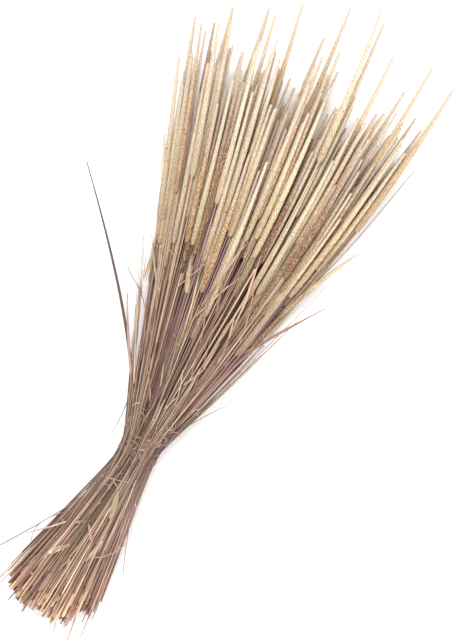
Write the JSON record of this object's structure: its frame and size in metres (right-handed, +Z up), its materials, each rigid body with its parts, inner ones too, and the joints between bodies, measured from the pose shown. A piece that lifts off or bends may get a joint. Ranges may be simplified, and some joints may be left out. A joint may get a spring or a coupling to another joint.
{
  "type": "bundle of dried timothy grass",
  "caption": "Cut bundle of dried timothy grass lying on its side, tied at a narrow waist, with a fan of long cylindrical spikes and a short brush of cut ends.",
  "frame": {"origin": "on the surface the bundle lies on, under the middle of its bounding box", "axes": "+Y along the bundle from the cut ends to the spikes, +X across it, +Z up from the surface it lies on"},
  "size_m": [0.3006, 0.6792, 0.1329],
  "materials": {
    "spike": "matte",
    "culm": "matte",
    "leaf": "matte",
    "tie": "matte"
  },
  "bodies": {
    "root": {"leaf_blade_1": "leaf", "leaf_blade_2": "leaf", "leaf_blade_3": "leaf", "leaf_blade_4": "leaf", "leaf_blade_5": "leaf", "stem_01": "spike", "stem_02": "spike", "stem_03": "spike", "stem_04": "spike", "stem_05": "spike", "stem_06": "spike", "stem_07": "spike", "stem_08": "spike", "stem_09": "spike", "stem_10": "spike", "stem_11": "spike", "stem_12": "spike", "stem_13": "spike", "stem_14": "spike", "stem_15": "spike", "stem_16": "spike", "stem_17": "spike", "stem_18": "spike", "stem_19": "spike", "stem_20": "spike", "stem_21": "spike", "stem_22": "spike", "stem_23": "spike", "stem_24": "spike", "stem_25": "spike", "stem_26": "spike", "stem_27": "spike", "stem_28": "spike", "stem_29": "spike", "stem_30": "spike", "stem_31": "spike", "stem_32": "spike", "stem_33": "spike", "stem_34": "spike", "stem_35": "spike", "stem_36": "spike", "stem_37": "spike", "stem_38": "spike", "stem_39": "spike", "stem_40": "spike", "stem_41": "spike", "stem_42": "spike", "stem_43": "spike", "stem_44": "spike", "stem_45": "spike", "stem_46": "spike", "stem_47": "spike", "stem_48": "spike", "stem_49": "spike", "stem_50": "spike", "stem_51": "spike", "stem_52": "spike", "stem_53": "spike", "stem_54": "spike", "tie_cord": "tie"}
  },
  "joints": []
}
